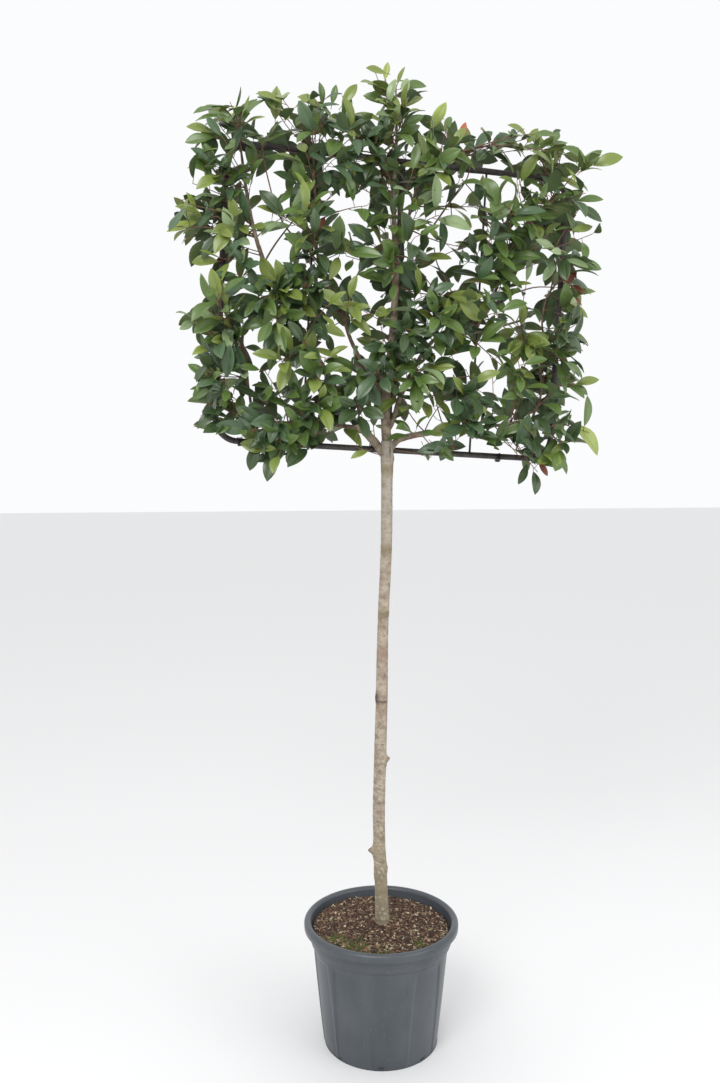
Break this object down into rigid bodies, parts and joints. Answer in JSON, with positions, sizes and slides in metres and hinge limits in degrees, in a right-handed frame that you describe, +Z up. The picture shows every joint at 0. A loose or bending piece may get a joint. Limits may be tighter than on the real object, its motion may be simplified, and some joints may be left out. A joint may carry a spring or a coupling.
{
  "type": "potted pleached photinia standard",
  "caption": "Evergreen photinia grown as a clear-stemmed standard, its boughs trained flat on a rounded tube frame, in a round nursery pot with mulched soil.",
  "frame": {"origin": "middle of the pot's flat underside, on the surface that it stands on", "axes": "+Z up the stem, +X to the right along the trained panel, -Y out of the panel's front"},
  "size_m": [1.0949, 0.4, 2.4679],
  "materials": {
    "pot": "satin",
    "soil": "matte",
    "pale_bark": "matte",
    "brown_bark": "matte",
    "trellis": "satin",
    "foliage": "satin"
  },
  "bodies": {
    "root": {"pot": "pot", "soil": "soil", "trunk": "pale_bark", "leader": "pale_bark", "left_bough": "pale_bark", "right_bough": "pale_bark", "low_right_bough": "pale_bark", "low_left_bough": "brown_bark", "inner_left_bough": "brown_bark", "upper_right_bough": "brown_bark", "right_riser": "brown_bark", "left_riser": "brown_bark", "right_edge_bough": "brown_bark", "frame_top": "trellis", "frame_right": "trellis", "frame_bottom": "trellis", "frame_left": "trellis", "frame_middle": "trellis", "frame_rod_left": "trellis", "frame_rod_right": "trellis", "foliage_tip": "foliage", "foliage_top_far_left": "foliage", "foliage_top_left": "foliage", "foliage_top_middle": "foliage", "foliage_top_right": "foliage", "foliage_top_far_right": "foliage", "foliage_upper_far_left": "foliage", "foliage_upper_left": "foliage", "foliage_upper_middle": "foliage", "foliage_upper_right": "foliage", "foliage_upper_far_right": "foliage", "foliage_middle_far_left": "foliage", "foliage_middle_left": "foliage", "foliage_middle": "foliage", "foliage_middle_right": "foliage", "foliage_middle_far_right": "foliage", "foliage_low_far_left": "foliage", "foliage_low_left": "foliage", "foliage_low_middle": "foliage", "foliage_low_right": "foliage", "foliage_low_far_right": "foliage", "foliage_foot_far_left": "foliage", "foliage_foot_left": "foliage", "foliage_foot_right": "foliage", "foliage_foot_far_right": "foliage"}
  },
  "joints": []
}
